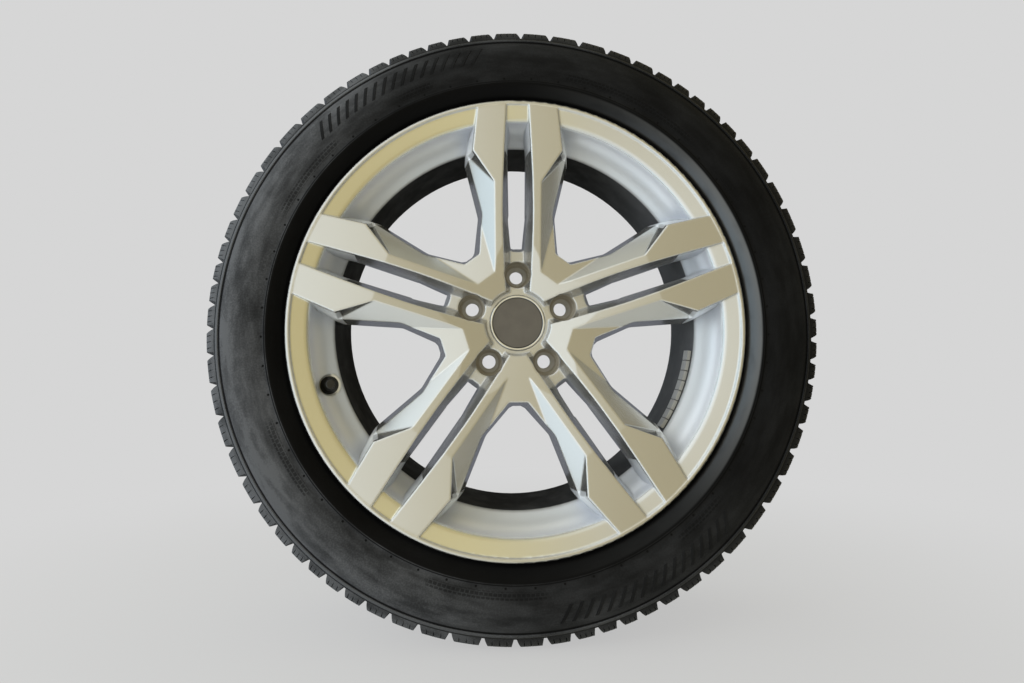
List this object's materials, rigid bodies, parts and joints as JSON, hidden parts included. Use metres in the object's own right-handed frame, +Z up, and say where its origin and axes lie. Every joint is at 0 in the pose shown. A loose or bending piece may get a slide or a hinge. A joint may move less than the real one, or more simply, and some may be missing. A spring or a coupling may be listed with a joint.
{
  "type": "wheel and tyre assembly",
  "caption": "Car road wheel: cast alloy rim with faceted twin spokes, sunken hub with bolt pockets and centre cap, fitted with a low-profile tyre, snap-in valve and stick-on weights.",
  "frame": {"origin": "centre of the wheel: on the spin axis, half way between the rim flanges", "axes": "+Y along the spin axis towards the vehicle, so the face looks along -Y; +Z up through one spoke pair"},
  "size_m": [0.703, 0.245, 0.703],
  "materials": {
    "wheel_paint": "cast aluminium, silver metallic paint under clear coat",
    "tyre_rubber": "moulded tyre rubber with road dust",
    "cap_plastic": "moulded black plastic",
    "cap_satin": "dark warm-grey satin paint",
    "bright_trim": "bright plated trim",
    "spring_steel": "drawn spring wire",
    "valve_rubber": "smooth black rubber",
    "valve_brass": "turned brass",
    "seal_rubber": "red-brown seal rubber",
    "weight_metal": "coated zinc blocks",
    "tape_foam": "foam adhesive tape"
  },
  "bodies": {
    "wheel": {"alloy_wheel": "wheel_paint", "tyre": "tyre_rubber", "cap_body": "cap_plastic", "cap_face": "cap_satin", "cap_ring": "bright_trim", "cap_spring": "spring_steel", "valve_rubber": "valve_rubber", "valve_stem": "valve_brass", "core_plug": "valve_brass", "core_barrel": "valve_brass", "core_barrel_seal": "seal_rubber", "core_spring": "spring_steel", "balance_weights": "weight_metal", "weight_tape": "tape_foam"},
    "core_pin": {"core_pin": "valve_brass", "core_cup": "valve_brass", "core_cup_seal": "seal_rubber"},
    "cap_seal": {"valve_cap_seal": "seal_rubber"},
    "valve_cap": {"valve_cap": "cap_plastic"}
  },
  "joints": [
    {"name": "core_pin_press", "type": "slide", "parent": "wheel", "child": "core_pin", "axis": [-0.2462, 0.9659, -0.08], "range_m": [0, 0.0015], "stiffness_N_per_m": 1000, "deforming": ["core_spring"]},
    {"name": "valve_cap_rise", "type": "slide", "parent": "wheel", "child": "cap_seal", "axis": [0.2462, -0.9659, 0.08], "range_m": [0, 0.00476]},
    {"name": "valve_cap_unscrew", "type": "hinge", "parent": "cap_seal", "child": "valve_cap", "pos_m": [-0.2163, -0.07074, -0.07028], "axis": [0.2462, -0.9659, 0.08], "range_deg": [0, 2160]}
  ],
  "couplings": [
    {"joint": "valve_cap_unscrew", "follows": "valve_cap_rise", "rad_per_m": 7913.3}
  ]
}
